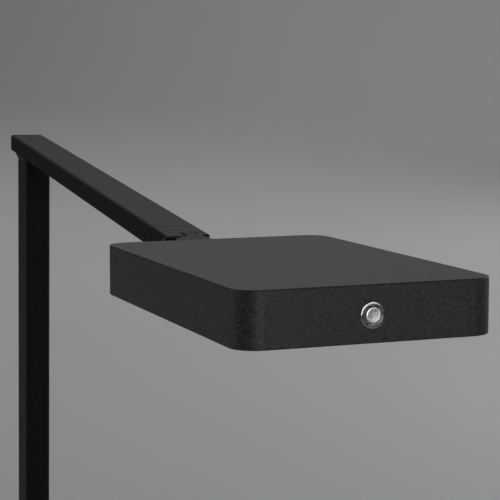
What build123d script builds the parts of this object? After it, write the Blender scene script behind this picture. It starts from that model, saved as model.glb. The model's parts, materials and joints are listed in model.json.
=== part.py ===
from build123d import *
import os
from math import hypot

# A piano lamp: a heavy foot carries an upright tube, a flat arm swings on top of the tube, and a
# two-axis knuckle at the arm's end carries a flat lamp head with a push switch in its front edge.
# The knuckle is clamped to the arm as a half-lap: lap, washer, knuckle, washer and a thumb nut.
# Millimetres, +Z up. The origin is on the resting plane under the post's axis. The arm points to -Y.
# The head and the knuckle are drawn level and straight, about the tilt axis, and placed at the end.

# Clearances
RUNNING_FIT = 0.05        # radial play of a shaft in its bore
FACE_PLAY = 0.05          # between flat faces that slide on each other
PUSH_FIT = 0.1            # around a plug in its tube, each side
SCREW_HOLE_PLAY = 0.3     # around a shank that passes through a plain hole
THREAD_PLAY = 0.05        # around a shank in its tapped hole
BODY_GAP = 0.3            # between parts that pass without touching
FREE_GAP = 0.8            # between parts that turn past each other
LEAD_PLAY = 0.1           # between a lead and the wall that it lies on

# Foot
BASE_WIDTH = 190.0
BASE_DEPTH = 230.0
BASE_THICK = 16.0
BASE_CORNER = 14.0
BASE_TOP_EDGE = 1.0
BASE_BOTTOM_EDGE = 0.5
BASE_FRONT_REACH = 160.0  # from the post's axis to the foot's front edge
PAD_THICK = 2.0
PAD_INSET = 3.0
POST_SEAT_DEPTH = 1.0     # recess that the post stands in

# Post
POST_WIDTH = 19.05
POST_DEPTH = 38.1
POST_WALL = 1.6
POST_EDGE = 3.0
FOOT_PLUG_DEPTH = 27.8    # along Y; the rest of the tube is left open for the lead
FOOT_PLUG_HEIGHT = 26.0
FOOT_SCREW_PITCH = 15.0
FOOT_SCREW_R = 3.0
FOOT_SCREW_HEAD_R = 5.0
FOOT_SCREW_HEAD = 6.0
FOOT_SCREW_GRIP = 16.0    # thread length inside the plug
TOP_PLUG_HEIGHT = 32.0    # inside the tube
COLLAR_HEIGHT = 4.0       # the plug's collar, which flares out under the arm
COLLAR_TAPER = 27.0       # degrees
TOP_SCREW_R = 2.0
TOP_SCREW_HEAD_R = 3.8
TOP_SCREW_HEAD = 2.2
TOP_SCREW_GRIP = 8.0
TOP_SCREW_PITCH = 16.0

# Arm
ARM_TOP = 400.0           # height of the arm's top face
ARM_WIDTH = 25.4
ARM_HEIGHT = 12.7
ARM_WALL = 1.5
ARM_EDGE = 1.8
ARM_REACH = 440.0         # from the post's axis to the tilt axis
ARM_OVERHANG = 32.8       # behind the post's axis
END_CAP_THICK = 4.0
END_CAP_EDGE = 1.6
END_CAP_SPIGOT = 5.0
SPIGOT_WALL = 1.6

# Swing joint on top of the post
SPINDLE_R = 4.5
SPINDLE_THREAD_R = 4.0
SPINDLE_BORE_R = 2.5
SPINDLE_BLOCK_HEIGHT = 8.0
SWING_WASHER_R = 7.0
SWING_WASHER_THICK = 1.5
SPRING_WASHER_R = 7.2
SPRING_WASHER_THICK = 1.2
SPINDLE_NUT_FLATS = 13.0
SPINDLE_NUT_HEIGHT = 6.5
SPINDLE_TAIL = 3.0        # thread that shows below the nut

# Tilt joint at the arm's end
CLEVIS_LENGTH = 23.3      # from the tube's end to the tilt axis
CLEVIS_SPIGOT = 22.0
CLEVIS_LAP = 10.5         # width of the arm's half of the lap joint
CLEVIS_HOLLOW_GAP = 0.4   # from the knuckle's heel, and from the knob, to the hollows they turn in
CLEVIS_HOOD = 2.5         # how far the hood over the knob reaches past the tilt axis
CLEVIS_BORE_R = 2.5
CLEVIS_SCREW_R = 2.0
CLEVIS_SCREW_HEAD_R = 3.6
CLEVIS_SCREW_GRIP = 5.0
CLEVIS_SCREW_PITCH = 11.0
TILT_PIN_R = 3.0
TILT_PIN_HEAD_R = 4.5
TILT_PIN_HEAD = 3.0
TILT_PIN_THREAD_R = 2.2
TILT_PIN_GRIP = 4.0
TILT_KNOB_R = 4.7
TILT_KNOB_INSET = 0.7     # from the arm's side to the knob's end
TILT_KNOB_EDGE = 0.7
TILT_KNOB_FLUTES = 8
TILT_KNOB_FLUTE_R = 0.8
WASHER_THICK = 0.75       # friction washers of both head joints
WASHER_R = 5.6
SOCKET_SHARE = 0.5        # hexagon socket, as a share of the screw head's radius and height

# Knuckle between the arm and the head
KNUCKLE_HEIGHT = 12.7
KNUCKLE_LAP = 7.4         # width of the knuckle's half of the lap joint
KNUCKLE_HEEL = 4.0        # how far its flat top runs back past the tilt axis
KNUCKLE_FLARE_START = 8.0     # from the tilt axis, where its side widens beyond the arm's lap
KNUCKLE_FLARE_END = 24.0      # from the tilt axis, where it is as wide as the arm
SWIVEL_REACH = 38.0       # from the tilt axis to the swivel axis
EYE_R = 7.8
EYE_HEIGHT = 5.0
EYE_PLATE_START = 20.0    # from the tilt axis to where the eye's plate begins
FORK_LEAF = 3.2
FORK_FLANGE = 5.0
FORK_FLANGE_WIDTH = 46.0
FORK_FLANGE_HEIGHT = 16.0
FORK_FLANGE_EDGE = 3.0
SWIVEL_PIN_R = 3.0
SWIVEL_PIN_HEAD_R = 5.0
SWIVEL_PIN_HEAD = 2.0
SWIVEL_PIN_GRIP = 2.4
BRACKET_SCREW_R = 2.0
BRACKET_SCREW_HEAD_R = 3.5
BRACKET_SCREW_HEAD = 2.6
BRACKET_SCREW_GRIP = 4.0
BRACKET_SCREW_PITCH = 32.0

# Lamp head
HEAD_WIDTH = 118.5
HEAD_DEPTH = 182.7
HEAD_THICK = 24.6
HEAD_CORNER = 11.5
HEAD_SIDE_WALL = 2.2
HEAD_TOP_WALL = 2.5
HEAD_TOP_EDGE = 0.6
HEAD_RIM_EDGE = 0.4
HEAD_BACK = 51.4          # from the tilt axis to the head's back face
HEAD_DROP = 3.35          # from the knuckle's axis down to the head's middle
HEAD_REST_TILT = 4.0      # nose up
HEAD_REST_SWIVEL = 3.7    # nose to +X
COVER_THICK = 2.0
COVER_RECESS = 0.4
COVER_GAP = 0.15
WINDOW_WIDTH = 84.0
WINDOW_DEPTH = 122.0
WINDOW_CORNER = 4.0
WINDOW_SHIFT = 5.0        # towards the back, which leaves the switch its bay in front
BOSS_R = 3.5
BOSS_INSET = 5.6          # from the inner walls to a corner boss's axis
COVER_SCREW_R = 1.5
COVER_SCREW_HEAD_R = 2.9
COVER_SCREW_HEAD = 1.5
COVER_SCREW_GRIP = 7.0
DIFFUSER_LIP = 2.8        # how far the diffuser's flange reaches past the window
DIFFUSER_FLANGE = 1.5
DIFFUSER_GAP = 0.2
LIGHT_BOX_WALL = 1.5
PLATE_THICK = 1.5
PLATE_STANDOFF = 8.0
PLATE_MARGIN = 7.0        # the heat spreader outside the light box
STANDOFF_R = 3.0
PLATE_SCREW_PITCH = 90.0
PLATE_SCREW_R = 1.25
PLATE_SCREW_HEAD_R = 2.3
PLATE_SCREW_HEAD = 1.6
PLATE_SCREW_GRIP = 5.0
BOARD_THICK = 1.6
BOARD_GAP = 0.5
CHIP_COLUMNS = 5
CHIP_ROWS = 8
CHIP_PITCH = 15.0
CHIP_WIDTH = 3.5
CHIP_DEPTH = 2.8
CHIP_THICK = 0.7

# Dimmer board under the head's top
DIMMER_WIDTH = 46.0
DIMMER_DEPTH = 22.0
DIMMER_STANDOFF = 3.0
DIMMER_FRONT = 28.0       # from the head's front face to the board
DIMMER_SCREW_PITCH = 38.0
DIMMER_SCREW_R = 1.0
DIMMER_SCREW_HEAD_R = 1.9
DIMMER_SCREW_HEAD = 1.3
DIMMER_SCREW_GRIP = 2.5
CHOKE_R = 5.0
CHOKE_HEIGHT = 2.8
DRIVER_CHIP_SIDE = 5.0
DRIVER_CHIP_HEIGHT = 1.6

# Push switch in the head's front edge
SWITCH_DROP = 0.4         # from the head's middle down to the switch's axis
BEZEL_R = 5.8
BEZEL_FLANGE = 0.6
BEZEL_EDGE = 0.3
BEZEL_MOUTH_GAP = 0.4     # the shadow ring round the cap
BARREL_R = 5.0
BARREL_LENGTH = 16.0
BARREL_BORE_R = 4.4
LIP_DEPTH = 1.2           # the lip that holds the cap in, measured inside the front face
CAP_R = 3.8
CAP_EDGE = 0.45
CAP_PROUD = 0.8           # how far the cap stands out of the bezel
CAP_RETAINER = 1.5
CAP_STEM_R = 1.5
CAP_TRAVEL = 1.2
SWITCH_NUT_FLATS = 14.0
SWITCH_NUT_HEIGHT = 2.5
SWITCH_BODY_LENGTH = 6.5
SWITCH_REAR_R = 4.9
SWITCH_REAR = 2.0
TERMINAL_PITCH = 4.0
TERMINAL_WIDTH = 2.0
TERMINAL_THICK = 0.5
TERMINAL_LENGTH = 4.0
SPRING_R = 2.9            # mean radius of the return spring's coils
SPRING_WIRE = 0.5         # side of the spring's square wire
SPRING_TURNS = 3.0

# Leads and their gland
GLAND_R = 5.0
GLAND_FLANGE_R = 6.5
GLAND_FLANGE = 2.0
GLAND_LENGTH = 10.0
GLAND_BORE_R = 2.6
SUPPLY_LEAD_R = 1.8
SUPPLY_LEAD_Y = 15.0      # the lead rises behind the foot plug
SUPPLY_LEAD_BEND = 8.0
SUPPLY_LEAD_EASE = 90.0   # bend radius inside the post
SUPPLY_BORE_R = 3.5
SUPPLY_LOW_TURN = 57.0    # below the spindle's end, where the lead leaves the back wall
SUPPLY_HIGH_TURN = 17.0   # below the spindle's end, where it is back on the axis
LEAD_POCKET_ROOF = 2.0    # what the foot keeps above the pocket's wide part
ARM_LEAD_R = 1.8
HEAD_LEAD_R = 1.5
HEAD_LEAD_BEND = 20.0

# Levels and places that follow from the sizes above
BASE_TOP = PAD_THICK + BASE_THICK
POST_BOTTOM = BASE_TOP - POST_SEAT_DEPTH
ARM_BOTTOM = ARM_TOP - ARM_HEIGHT
ARM_MIDDLE = ARM_TOP - ARM_HEIGHT / 2
COLLAR_TOP = ARM_BOTTOM - BODY_GAP
POST_TOP = COLLAR_TOP - COLLAR_HEIGHT
TOP_PLUG_BOTTOM = POST_TOP - TOP_PLUG_HEIGHT
BASE_MIDDLE_Y = BASE_DEPTH / 2 - BASE_FRONT_REACH
BASE_BACK = BASE_MIDDLE_Y + BASE_DEPTH / 2
PLUG_WIDTH = POST_WIDTH - 2 * (POST_WALL + PUSH_FIT)
PLUG_DEPTH = POST_DEPTH - 2 * (POST_WALL + PUSH_FIT)
PLUG_EDGE = POST_EDGE - POST_WALL
FOOT_PLUG_Y = (FOOT_PLUG_DEPTH - PLUG_DEPTH) / 2
TUBE_FRONT = CLEVIS_LENGTH - ARM_REACH
TUBE_BACK = ARM_OVERHANG - END_CAP_THICK
SPIGOT_WIDTH = ARM_WIDTH - 2 * (ARM_WALL + PUSH_FIT)
SPIGOT_HEIGHT = ARM_HEIGHT - 2 * (ARM_WALL + PUSH_FIT)
SPIGOT_EDGE = ARM_EDGE - ARM_WALL
SPINDLE_BLOCK_LENGTH = 2 * (TUBE_BACK - END_CAP_SPIGOT - FREE_GAP)
SPINDLE_END = (TOP_PLUG_BOTTOM - FACE_PLAY - SPRING_WASHER_THICK - SPINDLE_NUT_HEIGHT
               - SPINDLE_TAIL)
LAP_FACE = CLEVIS_LAP - ARM_WIDTH / 2                   # places along X in the tilt joint
KNUCKLE_LEFT = LAP_FACE + WASHER_THICK + FACE_PLAY
KNUCKLE_RIGHT = KNUCKLE_LEFT + KNUCKLE_LAP
KNOB_FACE = KNUCKLE_RIGHT + WASHER_THICK + FACE_PLAY
KNOB_END = ARM_WIDTH / 2 - TILT_KNOB_INSET
KNUCKLE_END = EYE_R + FREE_GAP - SWIVEL_REACH          # where its full height ends
FORK_GAP = EYE_HEIGHT / 2 + WASHER_THICK + FACE_PLAY   # half of the space between the leaves
HEAD_LEAD_X = BRACKET_SCREW_PITCH / 2 - BRACKET_SCREW_HEAD_R - HEAD_LEAD_R - LEAD_PLAY
HEAD_MIDDLE_Y = -HEAD_BACK - HEAD_DEPTH / 2
HEAD_FRONT = -HEAD_BACK - HEAD_DEPTH
HEAD_CEILING = HEAD_THICK / 2 - HEAD_TOP_WALL          # levels in the head, from its middle
COVER_BOTTOM = COVER_RECESS - HEAD_THICK / 2
COVER_TOP = COVER_BOTTOM + COVER_THICK
DIFFUSER_TOP = COVER_TOP + DIFFUSER_FLANGE
PLATE_TOP = HEAD_CEILING - PLATE_STANDOFF
PLATE_BOTTOM = PLATE_TOP - PLATE_THICK
BOARD_BOTTOM = PLATE_BOTTOM - BOARD_THICK
DIMMER_TOP = HEAD_CEILING - DIMMER_STANDOFF
DIMMER_BOTTOM = DIMMER_TOP - BOARD_THICK
DIMMER_Y = HEAD_FRONT + DIMMER_FRONT + DIMMER_DEPTH / 2
WINDOW_Y = HEAD_MIDDLE_Y + WINDOW_SHIFT
LIGHT_BOX_WIDTH = WINDOW_WIDTH + 2 * DIFFUSER_LIP
LIGHT_BOX_DEPTH = WINDOW_DEPTH + 2 * DIFFUSER_LIP
BOARD_WIDTH = LIGHT_BOX_WIDTH - 2 * (LIGHT_BOX_WALL + BOARD_GAP)
BOARD_DEPTH = LIGHT_BOX_DEPTH - 2 * (LIGHT_BOX_WALL + BOARD_GAP)
PLATE_WIDTH = LIGHT_BOX_WIDTH + 2 * PLATE_MARGIN
PLATE_DEPTH = LIGHT_BOX_DEPTH + 2 * PLATE_MARGIN
PLATE_SCREW_X = LIGHT_BOX_WIDTH / 2 + PLATE_MARGIN / 2

FROM_BOTTOM = (Align.CENTER, Align.CENTER, Align.MIN)


# Shared shapes

def rod_x(radius, x_low, x_high, y=0.0, z=0.0):
    """A round bar along X."""
    return Pos(x_low, y, z) * Rot(0, 90, 0) * Cylinder(radius, x_high - x_low, align=FROM_BOTTOM)


def rod_y(radius, y_low, y_high, x=0.0, z=0.0):
    """A round bar along Y."""
    return Pos(x, y_low, z) * Rot(-90, 0, 0) * Cylinder(radius, y_high - y_low, align=FROM_BOTTOM)


def rod_z(radius, z_low, z_high, x=0.0, y=0.0):
    """A round bar along Z."""
    return Pos(x, y, z_low) * Cylinder(radius, z_high - z_low, align=FROM_BOTTOM)


def slab(width, depth, z_low, z_high, y=0.0, corner=0.0):
    """A plate that lies flat, with round corners where a corner radius is given."""
    outline = RectangleRounded(width, depth, corner) if corner else Rectangle(width, depth)
    return Pos(0, y, z_low) * extrude(outline, z_high - z_low)


def bar(width, height, edge, y_front, y_back):
    """A bar along Y with rounded long edges, centred on the Y axis."""
    section = Plane.XZ * RectangleRounded(width, height, edge)
    return Pos(0, y_back, 0) * extrude(section, y_back - y_front)


def hex_nut(flats, height, bore):
    """A hexagon nut on the XY plane."""
    blank = extrude(RegularPolygon(flats / 2, 6, major_radius=False), height)
    return blank - Cylinder(bore, height, align=FROM_BOTTOM)


def socket_screw(shank, grip, head, head_height):
    """A screw with a cylinder head: the shank points down from the XY plane."""
    socket = extrude(RegularPolygon(head * SOCKET_SHARE, 6), head_height * SOCKET_SHARE)
    screw = rod_z(head, 0, head_height) + rod_z(shank, -grip, 0)
    return screw - Pos(0, 0, head_height * (1 - SOCKET_SHARE)) * socket


def countersunk_screw(shank, grip, head, head_height):
    """A screw with a countersunk head, its flat top on the XY plane."""
    cone = Pos(0, 0, -head_height) * Cone(shank, head, head_height, align=FROM_BOTTOM)
    socket_depth = head_height * SOCKET_SHARE
    socket = extrude(RegularPolygon(head * SOCKET_SHARE, 6), socket_depth)
    return cone + rod_z(shank, -grip - head_height, -head_height) - Pos(0, 0, -socket_depth) * socket


def flat_ring(outer, inner, z_low, z_high):
    """A washer about the Z axis."""
    return rod_z(outer, z_low, z_high) - rod_z(inner, z_low, z_high)


def lead(radius, points, bends):
    """A round lead along straight runs joined by arcs, one bend radius for each corner."""
    path = FilletPolyline(*points, radius=bends) if bends else Line(*points)
    return sweep(Plane(path @ 0, z_dir=path % 0) * Circle(radius), path=path)


# Foot and post

def foot_screw_places():
    return [FOOT_PLUG_Y + side * FOOT_SCREW_PITCH / 2 for side in (-1, 1)]


def base_plate():
    """The steel foot, bored from its back edge for the lead and from below for the post."""
    gland_z = PAD_THICK + BASE_THICK / 2
    plate = slab(BASE_WIDTH, BASE_DEPTH, PAD_THICK, BASE_TOP, BASE_MIDDLE_Y, BASE_CORNER)
    plate = chamfer(plate.faces().sort_by(Axis.Z)[-1].edges(), BASE_TOP_EDGE)
    plate = chamfer(plate.faces().sort_by(Axis.Z)[0].edges(), BASE_BOTTOM_EDGE)
    plate -= slab(POST_WIDTH + 2 * PUSH_FIT, POST_DEPTH + 2 * PUSH_FIT, POST_BOTTOM, BASE_TOP,
                  corner=POST_EDGE + PUSH_FIT)
    for y in foot_screw_places():
        plate -= rod_z(FOOT_SCREW_R + SCREW_HOLE_PLAY, PAD_THICK, POST_BOTTOM, y=y)
        plate -= rod_z(FOOT_SCREW_HEAD_R + SCREW_HOLE_PLAY, PAD_THICK,
                       PAD_THICK + FOOT_SCREW_HEAD + SCREW_HOLE_PLAY, y=y)
    plate -= rod_y(GLAND_R + RUNNING_FIT, BASE_BACK - GLAND_LENGTH, BASE_BACK, z=gland_z)
    plate -= rod_y(SUPPLY_BORE_R, SUPPLY_LEAD_Y, BASE_BACK - GLAND_LENGTH, z=gland_z)
    return plate - lead_pocket()


def lead_pocket():
    """The pocket under the post where the supply lead turns up, open to the post above."""
    slot_width = 2 * (SUPPLY_LEAD_R + FREE_GAP)
    front = SUPPLY_LEAD_Y - SUPPLY_LEAD_R - 2 * LEAD_PLAY
    back = POST_DEPTH / 2 - POST_WALL
    slot = slab(slot_width, back - front, PAD_THICK, POST_BOTTOM, (front + back) / 2)
    turn_back = SUPPLY_LEAD_Y + SUPPLY_LEAD_BEND / 2
    turn_top = POST_BOTTOM - LEAD_POCKET_ROOF
    turn = slab(slot_width, turn_back - front, PAD_THICK, turn_top, (front + turn_back) / 2)
    return slot + turn


def base_pad():
    """The soft pad under the foot."""
    return slab(BASE_WIDTH - 2 * PAD_INSET, BASE_DEPTH - 2 * PAD_INSET, 0, PAD_THICK,
                BASE_MIDDLE_Y, BASE_CORNER - PAD_INSET)


def cord_gland():
    """The bush in the foot's back edge that the supply cord would pass through."""
    flange_face = BASE_BACK + GLAND_FLANGE
    bush = rod_y(GLAND_R, BASE_BACK - GLAND_LENGTH, BASE_BACK) + rod_y(
        GLAND_FLANGE_R, BASE_BACK, flange_face)
    bush = chamfer(bush.faces().sort_by(Axis.Y)[-1].edges(), GLAND_FLANGE / 2)
    bush -= rod_y(GLAND_BORE_R, BASE_BACK - GLAND_LENGTH, flange_face)
    return Pos(0, 0, PAD_THICK + BASE_THICK / 2) * bush


def post_tube():
    """The upright rectangular tube."""
    tube = slab(POST_WIDTH, POST_DEPTH, POST_BOTTOM, POST_TOP, corner=POST_EDGE)
    tube -= slab(POST_WIDTH - 2 * POST_WALL, POST_DEPTH - 2 * POST_WALL, POST_BOTTOM, POST_TOP,
                 corner=POST_EDGE - POST_WALL)
    for z in top_screw_places():
        tube -= rod_y(TOP_SCREW_R + SCREW_HOLE_PLAY, 0, POST_DEPTH, z=z)
    return tube


def post_foot_plug():
    """The block in the tube's foot that takes the screws from below."""
    plug = slab(PLUG_WIDTH, FOOT_PLUG_DEPTH, POST_BOTTOM, POST_BOTTOM + FOOT_PLUG_HEIGHT,
                FOOT_PLUG_Y, PLUG_EDGE)
    for y in foot_screw_places():
        plug -= rod_z(FOOT_SCREW_R + THREAD_PLAY, POST_BOTTOM,
                      POST_BOTTOM + FOOT_SCREW_GRIP + FREE_GAP, y=y)
    return plug


def post_screws():
    """The two screws that pull the post down onto the foot."""
    head_seat = PAD_THICK + FOOT_SCREW_HEAD
    screw = socket_screw(FOOT_SCREW_R, POST_BOTTOM + FOOT_SCREW_GRIP - head_seat,
                         FOOT_SCREW_HEAD_R, FOOT_SCREW_HEAD)
    screw = Pos(0, 0, head_seat + SCREW_HOLE_PLAY) * Rot(180, 0, 0) * screw
    return [Pos(0, y, 0) * screw for y in foot_screw_places()]


def top_screw_places():
    middle = POST_TOP - TOP_PLUG_HEIGHT / 2
    return [middle + side * TOP_SCREW_PITCH / 2 for side in (-1, 1)]


def post_top_plug():
    """The bearing block in the tube's top, bored for the spindle, with its flared collar."""
    plug = slab(PLUG_WIDTH, PLUG_DEPTH, TOP_PLUG_BOTTOM, POST_TOP, corner=PLUG_EDGE)
    outline = RectangleRounded(POST_WIDTH, POST_DEPTH, POST_EDGE)
    plug += Pos(0, 0, POST_TOP) * extrude(outline, COLLAR_HEIGHT, taper=-COLLAR_TAPER)
    plug -= rod_z(SPINDLE_R + RUNNING_FIT, TOP_PLUG_BOTTOM, COLLAR_TOP)
    plug -= rod_z(SWING_WASHER_R + SCREW_HOLE_PLAY / 2, ARM_BOTTOM - FACE_PLAY - SWING_WASHER_THICK,
                  COLLAR_TOP)
    for z in top_screw_places():
        hole_end = POST_DEPTH / 2 - POST_WALL - TOP_SCREW_GRIP - FREE_GAP
        plug -= rod_y(TOP_SCREW_R + THREAD_PLAY, hole_end, PLUG_DEPTH / 2, z=z)
    return plug


def post_top_screws():
    """The two screws in the post's back that hold the bearing block."""
    screw = socket_screw(TOP_SCREW_R, POST_WALL + TOP_SCREW_GRIP, TOP_SCREW_HEAD_R, TOP_SCREW_HEAD)
    screw = Pos(0, POST_DEPTH / 2, 0) * Rot(-90, 0, 0) * screw
    return [Pos(0, 0, z) * screw for z in top_screw_places()]


def supply_lead():
    """The lead from the gland through the foot, up the post and into the hollow spindle."""
    low = PAD_THICK + BASE_THICK / 2 - SUPPLY_BORE_R + SUPPLY_LEAD_R + LEAD_PLAY
    points = [
        (0, BASE_BACK - GLAND_LENGTH - BODY_GAP, low),
        (0, SUPPLY_LEAD_Y, low),
        (0, SUPPLY_LEAD_Y, SPINDLE_END - SUPPLY_LOW_TURN),
        (0, 0, SPINDLE_END - SUPPLY_HIGH_TURN),
        (0, 0, ARM_BOTTOM),
    ]
    return lead(SUPPLY_LEAD_R, points, [SUPPLY_LEAD_BEND, SUPPLY_LEAD_EASE, SUPPLY_LEAD_EASE])


# Swing joint

def swing_washer():
    """The friction washer between the post and the arm."""
    top = ARM_BOTTOM - FACE_PLAY
    return flat_ring(SWING_WASHER_R, SPINDLE_R + SCREW_HOLE_PLAY, top - SWING_WASHER_THICK, top)


def swing_spindle():
    """The hollow spindle: its block lies in the arm and its shank turns in the post."""
    block_bottom = ARM_BOTTOM + ARM_WALL
    block = bar(SPIGOT_WIDTH, SPINDLE_BLOCK_HEIGHT, SPIGOT_EDGE, -SPINDLE_BLOCK_LENGTH / 2,
                SPINDLE_BLOCK_LENGTH / 2)
    block = Pos(0, 0, block_bottom + SPINDLE_BLOCK_HEIGHT / 2) * block
    spindle = block + rod_z(SPINDLE_R, TOP_PLUG_BOTTOM + BODY_GAP, block_bottom)
    spindle += rod_z(SPINDLE_THREAD_R, SPINDLE_END, TOP_PLUG_BOTTOM + BODY_GAP)
    return spindle - rod_z(SPINDLE_BORE_R, SPINDLE_END, block_bottom + SPINDLE_BLOCK_HEIGHT)


def spindle_spring_washer():
    """The spring washer that keeps the swing joint's friction even."""
    top = TOP_PLUG_BOTTOM - FACE_PLAY
    return flat_ring(SPRING_WASHER_R, SPINDLE_THREAD_R + THREAD_PLAY, top - SPRING_WASHER_THICK, top)


def spindle_nut():
    """The nut under the bearing block."""
    top = TOP_PLUG_BOTTOM - FACE_PLAY - SPRING_WASHER_THICK
    nut = hex_nut(SPINDLE_NUT_FLATS, SPINDLE_NUT_HEIGHT, SPINDLE_THREAD_R + THREAD_PLAY)
    return Pos(0, 0, top - SPINDLE_NUT_HEIGHT) * nut


# Arm, drawn about its own middle line and lifted into place

def lift_arm(shape):
    return Pos(0, 0, ARM_MIDDLE) * shape


def clevis_screw_places():
    middle = TUBE_FRONT + CLEVIS_SPIGOT / 2
    return [middle + side * CLEVIS_SCREW_PITCH / 2 for side in (-1, 1)]


def arm_tube():
    """The flat arm tube with its rounded long edges."""
    tube = bar(ARM_WIDTH, ARM_HEIGHT, ARM_EDGE, TUBE_FRONT, TUBE_BACK)
    tube -= bar(ARM_WIDTH - 2 * ARM_WALL, ARM_HEIGHT - 2 * ARM_WALL, ARM_EDGE - ARM_WALL,
                TUBE_FRONT, TUBE_BACK)
    tube -= rod_z(SPINDLE_R + THREAD_PLAY, -ARM_HEIGHT, 0)
    for y in clevis_screw_places():
        tube -= Pos(0, y, -ARM_HEIGHT / 2) * clevis_screw_hole()
    return lift_arm(tube)


def clevis_screw_hole():
    """The countersunk hole in the arm's underside, its mouth on the XY plane."""
    head = CLEVIS_SCREW_HEAD_R + THREAD_PLAY
    shank = CLEVIS_SCREW_R + THREAD_PLAY
    return Cone(head, shank, ARM_WALL, align=FROM_BOTTOM)


def arm_end_cap():
    """The plug that closes the arm behind the post."""
    cap = bar(ARM_WIDTH, ARM_HEIGHT, ARM_EDGE, TUBE_BACK, ARM_OVERHANG)
    cap = chamfer(cap.faces().sort_by(Axis.Y)[-1].edges(), END_CAP_EDGE)
    spigot_front = TUBE_BACK - END_CAP_SPIGOT
    cap += bar(SPIGOT_WIDTH, SPIGOT_HEIGHT, SPIGOT_EDGE, spigot_front, TUBE_BACK)
    hollow_width = SPIGOT_WIDTH - 2 * SPIGOT_WALL
    hollow_height = SPIGOT_HEIGHT - 2 * SPIGOT_WALL
    cap -= Pos(0, (spigot_front + TUBE_BACK) / 2, 0) * Box(hollow_width, END_CAP_SPIGOT,
                                                         hollow_height)
    return lift_arm(cap)


def lap_profile(y_back):
    """The arm end's side view: full round about the tilt axis."""
    round_end = rod_x(ARM_HEIGHT / 2, -ARM_WIDTH / 2, ARM_WIDTH / 2, y=-ARM_REACH)
    length = y_back + ARM_REACH
    straight = Pos(0, y_back - length / 2, 0) * Box(ARM_WIDTH, length, ARM_HEIGHT)
    return round_end + straight


def end_room(hollow_r, left, right, front):
    """Room in the arm's end between two places along X: hollow above the axis, flat below it."""
    middle = (left + right) / 2
    width = right - left
    room = rod_x(hollow_r, left, right)
    room += Pos(middle, -front - ARM_HEIGHT / 2, 0) * Box(width, ARM_HEIGHT, ARM_HEIGHT)
    room += Pos(middle, 0, -ARM_HEIGHT / 4) * Box(width, 2 * hollow_r, ARM_HEIGHT / 2)
    return Pos(0, -ARM_REACH, 0) * room


def knuckle_room():
    """What is cut from the arm's end beside its lap for the knuckle's heel."""
    heel_r = hypot(KNUCKLE_HEIGHT / 2, KNUCKLE_HEEL)
    return end_room(heel_r + CLEVIS_HOLLOW_GAP, LAP_FACE, KNOB_FACE, 0)


def knob_room():
    """What is cut for the knob, which leaves a round hood over it."""
    return end_room(TILT_KNOB_R + CLEVIS_HOLLOW_GAP, KNOB_FACE, ARM_WIDTH / 2, CLEVIS_HOOD)


def arm_clevis():
    """The end fitting: a spigot in the tube, the lap that the knuckle turns on, and a hood."""
    body = bar(ARM_WIDTH, ARM_HEIGHT, ARM_EDGE, -ARM_REACH - ARM_HEIGHT, TUBE_FRONT)
    body &= lap_profile(TUBE_FRONT)
    body += bar(SPIGOT_WIDTH, SPIGOT_HEIGHT, SPIGOT_EDGE, TUBE_FRONT, TUBE_FRONT + CLEVIS_SPIGOT)
    body -= knuckle_room()
    body -= knob_room()
    body -= rod_y(CLEVIS_BORE_R, -ARM_REACH, TUBE_FRONT + CLEVIS_SPIGOT,
                  x=LAP_FACE + CLEVIS_BORE_R + ARM_WALL)
    face = -ARM_WIDTH / 2
    head_seat = face + TILT_PIN_HEAD + SCREW_HOLE_PLAY
    body -= rod_x(TILT_PIN_HEAD_R + SCREW_HOLE_PLAY, face, head_seat, y=-ARM_REACH)
    body -= rod_x(TILT_PIN_R + RUNNING_FIT, head_seat, LAP_FACE, y=-ARM_REACH)
    for y in clevis_screw_places():
        body -= rod_z(CLEVIS_SCREW_R + THREAD_PLAY, -SPIGOT_HEIGHT / 2,
                      -ARM_HEIGHT / 2 + ARM_WALL + CLEVIS_SCREW_GRIP, y=y)
    return lift_arm(body)


def clevis_screws():
    """The two screws in the arm's underside that hold the clevis."""
    screw = countersunk_screw(CLEVIS_SCREW_R, CLEVIS_SCREW_GRIP - FREE_GAP, CLEVIS_SCREW_HEAD_R,
                              ARM_WALL)
    screw = Pos(0, 0, -ARM_HEIGHT / 2) * Rot(180, 0, 0) * screw
    return [lift_arm(Pos(0, y, 0) * screw) for y in clevis_screw_places()]


def arm_lead():
    """The lead along the arm's floor, from the spindle's block to the clevis."""
    z = -ARM_HEIGHT / 2 + ARM_WALL + ARM_LEAD_R + LEAD_PLAY
    back = -SPINDLE_BLOCK_LENGTH / 2 - BODY_GAP
    front = TUBE_FRONT + CLEVIS_SPIGOT + BODY_GAP
    return lift_arm(rod_y(ARM_LEAD_R, front, back, z=z))


# Tilt joint

def tilt_pin():
    """The shoulder screw across the lap joint, its head sunk into the arm's lap."""
    seat = TILT_PIN_HEAD + SCREW_HOLE_PLAY - ARM_WIDTH / 2
    head = rod_x(TILT_PIN_HEAD_R, seat - TILT_PIN_HEAD, seat)
    socket = extrude(Plane.YZ * RegularPolygon(TILT_PIN_HEAD_R * SOCKET_SHARE, 6),
                     TILT_PIN_HEAD * SOCKET_SHARE)
    head -= Pos(seat - TILT_PIN_HEAD, 0, 0) * socket
    pin = head + rod_x(TILT_PIN_R, seat, KNOB_FACE - FACE_PLAY)
    pin += rod_x(TILT_PIN_THREAD_R, KNOB_FACE - FACE_PLAY, KNOB_FACE + TILT_PIN_GRIP - FACE_PLAY)
    return lift_arm(Pos(0, -ARM_REACH, 0) * pin)


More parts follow.
